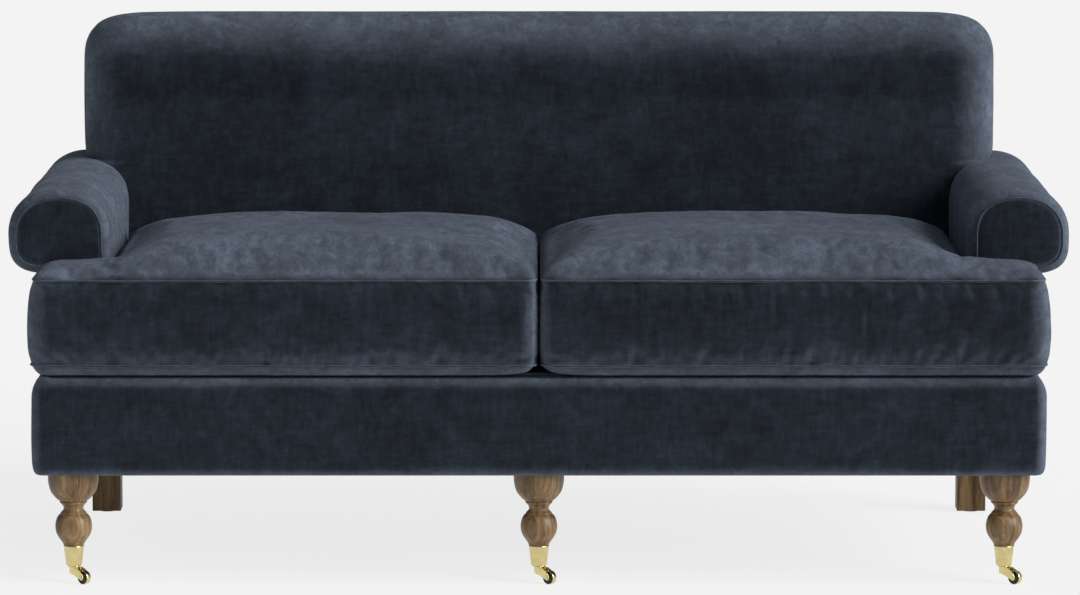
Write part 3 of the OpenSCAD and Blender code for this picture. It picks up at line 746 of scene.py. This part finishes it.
prof = [(24.5, 360.6), (22.0, 361.5), (18.2, 361.1), (14.5, 359.6), (11.0, 357.0), (7.9, 353.5), (5.1, 349.4), (2.9, 344.5), (1.3, 339.1), (0.33, 333.4), (0, 327.5),
        (0, 316), (0, 304), (0, 292), (0, 280), (0, 264), (0.1, 250), (0.4, 236), (0.8, 224), (1.2, 214.5), (2.0, 207), (3.2, 201.6), (5.2, 197.7), (7.8, 195.4),
        (10.5, 194.5), (14, 194.5), (17.0, 195.6), (19.4, 197.4), (19.4, 198.4), (14, 198.5), (9.8, 198.6), (9.8, 216), (9.8, 276), (9.8, 336), (9.9, 343.4),
        (12.0, 346.0), (16.0, 350.0), (20.0, 354.0), (23.5, 358.0)]
rows = []
for i, z in prof:
    p, q = base_path(i if z > 300 else min(i, 18.4)), base_path(min(i, 9.6) if z > 300 else i)
    zz = np.full(len(p), z)
    under_arm = p[:, 1] > -297
    p[under_arm] = q[under_arm]
    zz = np.where(under_arm & (z > 300), np.minimum(zz, 360.0 - 0.02 * i), zz)
    # the top roll climbs at the front corners until it meets the cushion
    w = np.clip((np.abs(p[:, 0]) - 829) / 13, 0, 1)
    w = w * w * (3 - 2 * w) * np.clip((-424 - p[:, 1]) / 12, 0, 1)
    zz += 4.2 * w * np.clip((z - 350) / 10, 0, 1)
    rows.append(np.c_[p, zz])
rows = np.array(rows)  # profile, path, 3
rows = rows.transpose(1, 0, 2)
v, f = rings(list(rows), True, True, True)
base = make("base_band", v, f, [VELVET_BASE], "root", ["base_cover", "base_padding"])
undulate(base, [(0.7, 300, 51), (0.3, 90, 52)],
         keep=lambda q: np.clip((360 - q[:, 2]) / 20, 0, 1) * np.clip((q[:, 2] - 195) / 20, 0, 1) * ((np.abs(q[:, 0]) > 855) | (q[:, 1] < -446)))

# ---------------------------------------------------------------- the deck


def deck_plan(i, y1):
    return rpoly([(-838 + i, -430 + i), (838 - i, -430 + i), (838 - i, -291 - i), (741.5 - i, -291 - i), (741.5 - i, y1),
                  (-741.5 + i, y1), (-741.5 + i, -291 - i), (-838 + i, -291 - i)], [16, 16, 4, 4, 4, 4, 4, 4], 5)


rows = []
for i, z in ((14, 361.0), (2, 360.8), (0.6, 361.4), (0, 362.6), (0, 365.0), (0.6, 366.8), (2.0, 367.7), (4.0, 368.0)):
    p = deck_plan(i, 169.5 - min(i, 2))
    rows.append(np.c_[p, np.full(len(p), z)])
n_ring = len(rows[0])
v, f = rings(rows, True, False, False)
me = bpy.data.meshes.new("seat_deck")
me.from_pydata((v * MM).tolist(), [], f)
bm = bmesh.new()
bm.from_mesh(me)
bm.verts.ensure_lookup_table()
for k in (0, len(rows) - 1):
    face = bm.faces.new([bm.verts[k * n_ring + i] for i in range(n_ring)])
    bmesh.ops.triangulate(bm, faces=[face])
bmesh.ops.recalc_face_normals(bm, faces=bm.faces)
bm.to_mesh(me)
bm.free()
for m in (VELVET, DECKING):
    me.materials.append(m)
for q in me.polygons:
    c = q.center / MM
    q.material_index = 1 if (c.z > 367 and c.y > -380) else 0
    q.use_smooth = abs(q.normal.z) < 0.98
deck = bpy.data.objects.new("seat_deck", me)
sc.collection.objects.link(deck)
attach(deck, "root")
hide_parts("deck_cover", "deck_padding")

# dust cover: thin black cambric stretched under the seat, between the legs
gx, gy = np.meshgrid(np.linspace(-846, 846, 141), np.linspace(-438, 398, 71), indexing="ij")
sag = -2.2 * np.sin(np.pi * np.clip(np.abs(gx) / 846, 0, 1)) ** 2 * np.sin(np.pi * (gy + 438) / 836)
sag += 0.25 * waves(np.stack([gx.ravel(), gy.ravel(), 0 * gx.ravel()], 1), 120, 77).reshape(gx.shape)
top_z = 199.6 + np.minimum(sag, 0.2)
v = np.stack([gx, gy, top_z], -1).reshape(-1, 3)
idx = np.arange(gx.size).reshape(gx.shape)
fs = [(idx[i, j], idx[i + 1, j], idx[i + 1, j + 1], idx[i, j + 1]) for i in range(gx.shape[0] - 1) for j in range(gx.shape[1] - 1)]
dust = make("dust_cover_cloth", v, fs, [LINING], "root", ["dust_cover"])
mod = dust.modifiers.new("thickness", "SOLIDIFY")
mod.thickness = 0.0006
mod.offset = 0

# ---------------------------------------------------------------- the legs
turning = [(43.2, 200), (43.3, 192), (43.3, 186), (43.1, 178), (42.2, 172), (40.9, 166), (39.2, 161), (36.7, 156.4), (32.8, 151.5),
           (28.6, 147), (25.9, 144.7), (24.9, 144.1)]
groove1 = [(23.2, 143.7), (22.3, 143.2), (22.5, 142.7), (23.2, 142.2), (23.3, 141.2), (22.8, 139.8), (21.7, 138.6), (20.4, 137.4), (18.3, 134.8), (17, 131),
           (17.5, 127.8), (19.3, 125.4), (21.1, 123.4), (22.3, 122.2), (22.5, 121.5), (22.0, 120.9), (21.9, 120.4), (22.9, 119.8)]
bulb = [(25, 118.6), (27.9, 114.6), (29.7, 110), (30.9, 104.8), (31.4, 99.5), (31.2, 94.8), (30.4, 90.2), (28.8, 85.5), (26.2, 80.7), (23, 76),
        (19.9, 71.6), (18.1, 68.3), (17.5, 66.6), (17.3, 65.8)]
leg_profile = np.vstack([spline(turning, 5), spline(groove1, 4), spline(bulb, 6)])
leg_profile = np.vstack([[(0.01, 200)], leg_profile, [(15.6, 65.75), (15.4, 64), (12.3, 37.2), (0.01, 37)]])
LEG_X, LEG_Y = 798.0, -393.0
for x, side in ((-LEG_X, "left"), (0.0, "centre"), (LEG_X, "right")):
    v, f = lathe(leg_profile, 96, (x, LEG_Y))
    make(f"turned_leg_{side}", v, f, [WALNUT], "root", [f"front_leg_{side}"], merge=0.03)

# --------------------------------------------------------------- the casters
cup = spline([(12.2, 30.8), (13.0, 31.0), (13.5, 31.7), (13.8, 33.0), (14.3, 38), (15.2, 46), (16.2, 54), (17.0, 61.2), (17.15, 62.6), (17.6, 63.4), (17.75, 64.5),
              (17.5, 65.5), (16.9, 65.85)], 5)
cup = np.vstack([[(3.1, 30.8), (8, 30.8)], cup, [(15.95, 65.8), (15.9, 65), (12.3, 33.8), (3.1, 33.8)]])
for x, side in ((-LEG_X, "left"), (0.0, "centre"), (LEG_X, "right")):
    rows = []
    g = np.arange(80) * 2 * math.pi / 80
    for r, z in cup:
        rows.append(np.stack([x + r * np.cos(g), LEG_Y + r * np.sin(g), np.full(80, z)], 1))
    v, f = rings(rows, True, False, False, True)
    make(f"brass_cup_{side}", v, f, [BRASS], "root", ["caster_cups"])

ANG = math.radians(-40)
TV = np.array([math.cos(ANG), math.sin(ANG), 0.0])
AV = np.array([-math.sin(ANG), math.cos(ANG), 0.0])
for x, side in ((-LEG_X, "left"), (0.0, "centre"), (LEG_X, "right")):
    # the horn: a casting with soft edges, from the fork's own solid
    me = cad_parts[f"caster_horn_{side}"].data.copy()
    o = bpy.data.objects.new(f"brass_horn_{side}", me)
    sc.collection.objects.link(o)
    me.materials.clear()
    me.materials.append(BRASS)
    bm = bmesh.new()
    bm.from_mesh(me)
    bmesh.ops.remove_doubles(bm, verts=bm.verts, dist=0.00001)
    bm.to_mesh(me)
    bm.free()
    rm = o.modifiers.new("cast", "REMESH")
    rm.mode = "VOXEL"
    rm.voxel_size = 0.00042
    rm.adaptivity = 0
    sm = o.modifiers.new("soften", "SMOOTH")
    sm.factor = 0.5
    sm.iterations = 5
    dg = bpy.context.evaluated_depsgraph_get()
    me2 = bpy.data.meshes.new_from_object(o.evaluated_get(dg))
    o.modifiers.clear()
    o.data = me2
    me2.name = f"brass_horn_{side}"
    if not len(me2.materials):
        me2.materials.append(BRASS)
    me2.polygons.foreach_set("use_smooth", [True] * len(me2.polygons))
    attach(o, f"caster_{side}")
    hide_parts(f"caster_horn_{side}")

    # the wheel: a black core between two dished sides, with a brass-rimmed tread
    c = np.array([x, LEG_Y, 0]) + 24 * TV + np.array([0, 0, 12.0])
    prof = [(1.56, -5.2), (3.6, -5.2), (4.0, -5.0), (4.4, -4.3), (5.2, -4.0), (8.6, -4.0), (9.3, -4.3), (9.8, -4.9), (10.6, -5.0), (11.2, -4.8), (11.7, -4.2),
            (11.95, -3.2), (12.0, -1.6), (12.0, 1.6), (11.95, 3.2), (11.7, 4.2), (11.2, 4.8), (10.6, 5.0), (9.8, 4.9), (9.3, 4.3), (8.6, 4.0), (5.2, 4.0),
            (4.4, 4.3), (4.0, 5.0), (3.6, 5.2), (1.56, 5.2)]
    rows = []
    g = np.arange(72) * 2 * math.pi / 72
    zv = np.array([0, 0, 1.0])
    for r, w in prof:
        rows.append(c + np.outer(r * np.cos(g), TV) + np.outer(r * np.sin(g), zv) + w * AV)
    v, f = rings(rows, True, False, False, True)
    mat_of = []
    for j in range(len(prof)):
        r = (prof[j][0] + prof[(j + 1) % len(prof)][0]) / 2
        mat_of += [1 if r > 10.9 else 0] * 72
    make(f"caster_wheel_{side}_turned", v, f, [BLACK, BRASS], f"wheel_{side}", [f"caster_wheel_{side}"], mat_of=mat_of)

# ------------------------------------------------------- loose seat cushions
WELT_Z, LOW_Z, CROWN, FOOT = 530.0, 384.0, 51.0, 369.4


def cushion_plan(i):
    return rpoly([(4.8 + i, -454.5 + i), (858.5 - i, -454.5 + i), (858.5 - i, -297 - i), (737.3 - i, -297 - i), (737.3 - i, 162 - i), (4.8 + i, 162 - i)],
                 [max(22 - i, 1), max(24 - i, 1), max(18 - i, 1), 8 + i, max(24 - i, 1), max(20 - i, 1)], 10)


def nearest_edge(P, poly):
    """For plan points: how far the outline is (positive inside), the nearest point on it and its outward normal."""
    a, b = poly, np.roll(poly, -1, 0)
    ab = b - a
    L2 = (ab ** 2).sum(1)
    nrm = np.stack([ab[:, 1], -ab[:, 0]], 1)
    nrm /= np.linalg.norm(nrm, axis=1)[:, None]
    D = np.empty(len(P))
    Q = np.empty((len(P), 2))
    N = np.empty((len(P), 2))
    for s in range(0, len(P), 20000):
        p = P[s:s + 20000]
        ap = p[:, None, :] - a[None]
        tt = np.clip((ap * ab[None]).sum(2) / L2[None], 0, 1)
        q = a[None] + tt[..., None] * ab[None]
        d = np.linalg.norm(p[:, None, :] - q, axis=2)
        k = d.argmin(1)
        r = np.arange(len(p))
        D[s:s + 20000] = d[r, k]
        Q[s:s + 20000] = q[r, k]
        N[s:s + 20000] = nrm[k]
    side = ((P - Q) * N).sum(1)
    return np.where(side > 0.0, -D, D), Q, N


def arm_side(P):
    """Plan distance to the cushion's arm side: the outer end of its ear, the ear's rear edge and the inner side of the arm."""
    x, y = P[:, 0], P[:, 1]
    ear_end = np.hypot(858.5 - x, np.clip(y + 297, 0, None))
    ear_rear = np.hypot(np.clip(737.3 - x, 0, None), -297 - y)
    inner = np.hypot(737.3 - x, np.clip(-297 - y, 0, None))
    return np.minimum(np.where(y < -297, ear_end, 1e6), np.minimum(np.where(y < -297, ear_rear, 1e6), np.where(x > 737.3, 1e6, inner)))


def crown_rise(d, P):
    """Steep soft shoulders, then a crown that climbs slowly across the width; lower on the ear in front of the arm."""
    sides = np.stack([P[:, 0] - 4.8, P[:, 1] + 454.5, 162 - P[:, 1], arm_side(P)])
    d = np.minimum(d, (np.maximum(sides, 0.01) ** -3.2).sum(0) ** (-1 / 3.2))
    u = np.clip(d / 165.0, 0, 1)
    deep = np.minimum(P[:, 1] + 454.5, 162 - P[:, 1])
    across = np.minimum(P[:, 0] - 4.8, np.where(P[:, 1] > -297, 737.3, 800.0) - P[:, 0])
    slow = 1 - 0.28 * (1 - np.clip(across / 290.0, 0, 1)) ** 2
    lateral = np.clip(np.minimum(P[:, 0] - 4.8, sides[3]), 0.01, None)
    soft = lateral / (lateral + np.maximum(deep, 0.01))
    power = 0.45 + 0.30 * soft * soft * (3 - 2 * soft)
    ear = np.clip((P[:, 0] - 640) / 150, 0, 1)
    ear = ear * ear * (3 - 2 * ear) * np.clip((-180 - P[:, 1]) / 140, 0, 1)
    middle = 4.0 * np.clip(1 - ((P[:, 0] - 400) / 380) ** 2, 0, 1) * np.clip(1 - ((P[:, 1] + 120) / 300) ** 2, 0, 1)
    return (CROWN * (1 - (1 - u) ** 3) ** power * slow + middle) * (1 - 0.27 * ear)


def spread(x, y, z):
    """The outer end stands a little proud of its pattern, more so towards its lower seam."""
    w = np.clip((x - 834) / 22, 0, 1)
    return (0.8 + 4.8 * np.clip((WELT_Z - z) / (WELT_Z - LOW_Z), 0, 1)) * w * w * (3 - 2 * w) * np.clip((-300 - y) / 30, 0, 1)


def cushion(side, sgn, mat, seed):
    plan = resample(cushion_plan(0), 7.0, True)
    n = len(plan)
    H = WELT_Z + CROWN
    v = np.vstack([np.c_[plan, np.full(n, FOOT)], np.c_[plan, np.full(n, H)]])
    f = [(i, (i + 1) % n, n + (i + 1) % n, n + i) for i in range(n)] + [tuple(range(n)), tuple(range(n, 2 * n))]
    me = bpy.data.meshes.new("cushion_start")
    me.from_pydata((v * MM).tolist(), [], f)
    bm = bmesh.new()
    bm.from_mesh(me)
    bmesh.ops.recalc_face_normals(bm, faces=bm.faces)
    bm.to_mesh(me)
    bm.free()
    o = bpy.data.objects.new(f"seat_cushion_{side}", me)
    sc.collection.objects.link(o)
    rm = o.modifiers.new("remesh", "REMESH")
    rm.mode = "VOXEL"
    rm.voxel_size = 0.0070
    dg = bpy.context.evaluated_depsgraph_get()
    me2 = bpy.data.meshes.new_from_object(o.evaluated_get(dg))
    o.modifiers.clear()
    o.data = me2
    P = get_co(me2) / MM
    d, Q, N = nearest_edge(P[:, :2], cushion_plan(0))
    d = np.maximum(d, 0)
    # the flat top becomes the crown, and the side walls shrink under it
    ztop = WELT_Z + crown_rise(d, P)
    z = FOOT + (P[:, 2] - FOOT) * (ztop - FOOT) / (H - FOOT)
    wall = np.clip(1 - d / 16, 0, 1)
    # boxing swells between its seams; below the lower seam the edge turns under
    room = np.full(len(P), 6.6)
    room = np.where((N[:, 0] > 0.7) & (P[:, 1] < -300), 6.6, room)
    room = np.where(N[:, 0] < -0.7, 1.2, room)
    room = np.where((N[:, 0] > 0.7) & (P[:, 1] > -300), 3.2, room)
    room = np.where((N[:, 1] > 0.7) & (P[:, 0] > 737), 3.0, room)
    room = np.where((N[:, 1] > 0.7) & (P[:, 0] < 737), 4.5, room)
    swell = np.where((z > LOW_Z) & (z < WELT_Z), np.sin(np.pi * np.clip((z - LOW_Z) / (WELT_Z - LOW_Z), 0, 1)) ** 0.85, 0) * room
    under = -11.0 * np.clip((LOW_Z - z) / (LOW_Z - FOOT), 0, 1) ** 1.15
    off = (swell + under) * wall
    P[:, 0] += N[:, 0] * off
    P[:, 1] += N[:, 1] * off
    # the lower edge turns up where it meets the other cushion
    low = np.clip((LOW_Z + 4 - z) / (LOW_Z + 4 - FOOT), 0, 1)
    split = np.clip(P[:, 0] - 4.8, 0, None)
    front = np.clip(1 - (P[:, 1] + 455) / 60, 0, 1)
    P[:, 2] = z + 11.5 * np.exp(-split / 20) * low * front
    # in front of the deck the bottom edge hangs a little lower
    P[:, 0] += spread(P[:, 0], P[:, 1], P[:, 2])
    over = np.clip(np.maximum(-431 - P[:, 1], P[:, 0] - 839) / 7, 0, 1)
    P[:, 2] -= 3.0 * over * low * (1 - np.exp(-split / 20))
    # the two cushions lean on each other just above their seams
    lean = np.where(N[:, 0] < -0.7, 1, 0) * np.clip(1 - d / 14, 0, 1) * np.exp(-((P[:, 2] - WELT_Z - 11) / 8) ** 2)
    P[:, 0] -= 3.2 * lean
    start = P.copy()
    seam = ((np.abs(z - WELT_Z) < 5) | (np.abs(z - LOW_Z) < 5)) & (d < 6)
    foot = z < FOOT + 2.5
    set_co(me2, P * MM)
    me2.polygons.foreach_set("use_smooth", [True] * len(me2.polygons))

    grp = o.vertex_groups.new(name="held")
    grp.add([int(i) for i in np.nonzero(seam | foot)[0]], 1.0, "REPLACE")
    cl = o.modifiers.new("cloth", "CLOTH")
    s = cl.settings
    s.quality = 5
    s.mass = 0.35
    s.tension_stiffness = 18
    s.compression_stiffness = 10
    s.shear_stiffness = 6
    s.bending_stiffness = 1.2
    s.tension_damping = 12
    s.compression_damping = 12
    s.shear_damping = 12
    s.air_damping = 4
    s.use_pressure = True
    s.uniform_pressure_force = 4.0
    s.shrink_min = -0.012
    s.vertex_group_mass = "held"
    s.pin_stiffness = 4
    s.effector_weights.gravity = 0
    cl.collision_settings.use_collision = False
    cl.collision_settings.use_self_collision = False
    cl.point_cache.frame_start = 1
    cl.point_cache.frame_end = 20
    for fr in range(1, 21):
        sc.frame_set(fr)
    dg = bpy.context.evaluated_depsgraph_get()
    got = get_co(o.evaluated_get(dg).to_mesh()) / MM
    o.modifiers.remove(cl)
    sc.frame_set(1)
    move = got - start
    L = np.linalg.norm(move, axis=1)
    cap = np.where(wall > 0.2, 3.0, 9.0)
    move *= (np.minimum(L, cap) / np.maximum(L, 1e-9))[:, None]
    P = start + move
    # small unevenness of the filling, and puckers along the seams
    set_co(me2, P * MM)
    N3 = get_no(me2)
    q = P.copy()
    q[:, 0] += seed * 900
    soft = np.clip(d / 60, 0.15, 1)
    wob = 1.5 * waves(q, 330, seed) * soft + 0.6 * waves(q, 120, seed + 1) * soft + 0.2 * waves(q, 40, seed + 2)
    near_top = np.exp(-((P[:, 2] - WELT_Z) / 16) ** 2) * np.exp(-(d / 22) ** 2)
    near_low = np.exp(-((P[:, 2] - LOW_Z) / 14) ** 2) * np.exp(-(d / 22) ** 2)
    pucker = 0.55 * waves(q * [1, 1, 0.25], 34, seed + 3) * (near_top + near_low)
    P = P + N3 * (wob * np.where(seam | foot, 0.1, 1.0) + pucker * np.where(seam, 0, 1))[:, None]
    # stay clear of the arms, the back, the deck and the other cushion
    P[:, 0] = np.maximum(P[:, 0], 1.2)
    body = P[:, 1] > -296
    P[:, 0] = np.where(body, np.minimum(P[:, 0], 741.0), P[:, 0])
    P[:, 1] = np.where(P[:, 0] > 741.2, np.minimum(P[:, 1], -293.0), P[:, 1])
    P[:, 1] = np.minimum(P[:, 1], 168.0)
    P[:, 2] = np.maximum(P[:, 2], np.where((P[:, 1] > -432) & (P[:, 0] < 840), 368.6, 366.0))
    if sgn < 0:
        P[:, 0] *= -1
        me2.flip_normals()
    set_co(me2, P * MM)
    me2.materials.clear()
    me2.materials.append(mat)
    me2.polygons.foreach_set("use_smooth", [True] * len(me2.polygons))
    sub = o.modifiers.new("smooth", "SUBSURF")
    sub.levels = 1
    sub.render_levels = 1
    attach(o, f"seat_cushion_{side}")
    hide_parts(f"cushion_core_{side}", f"cushion_cover_{side}")
    for z, nm in ((WELT_Z - 0.3, "upper"), (LOW_Z, "lower")):
        p = resample(cushion_plan(-0.5), 6.0, True)
        p[:, 0] += spread(p[:, 0], p[:, 1], np.full(len(p), z))
        r = 1.75 + 0.10 * waves(np.c_[p, np.full(len(p), z)], 40, seed + 9)
        c = np.c_[p[:, 0] * sgn, p[:, 1], np.full(len(p), z) + 0.25 * waves(np.c_[p, np.full(len(p), z)], 160, seed + 8)]
        v, f = tube(c, r, True, 12)
        make(f"cushion_welt_{nm}_{side}", v, f, [WELT], f"seat_cushion_{side}", [f"cushion_welts_{side}"])
    return o


cushion("left", -1, VELVET_B, 3)
cushion("right", 1, VELVET_C, 4)

# ------------------------------------------------- CAD nodes that stay shown


def dress(names, mat):
    for nm in names:
        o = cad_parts[nm]
        if not o.data.materials:
            o.data.materials.append(mat)
        for k in range(len(o.material_slots)):
            o.material_slots[k].link = "OBJECT"
            o.material_slots[k].material = mat


dress(["front_rail", "rear_rail", "side_rails", "centre_stretcher", "corner_blocks", "back_posts", "back_centre_post", "back_top_rail",
       "back_lower_rail", "arm_scroll_boards", "arm_top_boards", "arm_slats"], TIMBER)
dress(["seat_springs", "back_springs", "spring_clips", "leg_bolts", "leg_nuts"], STEEL)
dress(["rear_leg_left", "rear_leg_right"], WALNUT_DARK)
dress(["cup_screws"], BRASS)
dress(["caster_axle_left", "caster_axle_centre", "caster_axle_right"], BRASS)
dress(["rear_glides"], GLIDE)
dress(["cushion_zip_left", "cushion_zip_right"], TAPE)
dress(["zip_pull_left", "zip_pull_right"], ZIP_METAL)

# --------------------------------------------------------- floor and light
fm = bpy.data.materials.new("floor_pale")
fm.use_nodes = True
nt = fm.node_tree
b = nt.nodes["Principled BSDF"]
b.inputs["Base Color"].default_value = (0.12, 0.12, 0.12, 1)
b.inputs["Roughness"].default_value = 1.0
b.inputs["Specular IOR Level"].default_value = 0.0
b.inputs["Emission Color"].default_value = (1, 1, 1, 1)
b.inputs["Emission Strength"].default_value = 0.80
me = bpy.data.meshes.new("floor")
me.from_pydata([(-60, -40, 0), (60, -40, 0), (60, 80, 0), (-60, 80, 0)], [], [(0, 1, 2, 3)])
me.materials.append(fm)
floor = bpy.data.objects.new("floor", me)
sc.collection.objects.link(floor)

world = bpy.data.worlds.new("studio")
sc.world = world
world.use_nodes = True
bg = world.node_tree.nodes["Background"]
bg.inputs[0].default_value = (0.93, 0.96, 1.0, 1)
bg.inputs[1].default_value = 0.30


def sun(name, rot, angle, strength, colour=(1, 1, 1)):
    d = bpy.data.lights.new(name, "SUN")
    d.angle = math.radians(angle)
    d.energy = strength
    d.color = colour
    o = bpy.data.objects.new(name, d)
    o.rotation_euler = [math.radians(a) for a in rot]
    sc.collection.objects.link(o)
    return o


sun("key", (24, 62, 0), 40, 3.8, (1.0, 0.99, 0.97))
sc.view_settings.view_transform = "Standard"
sc.view_settings.look = "None"
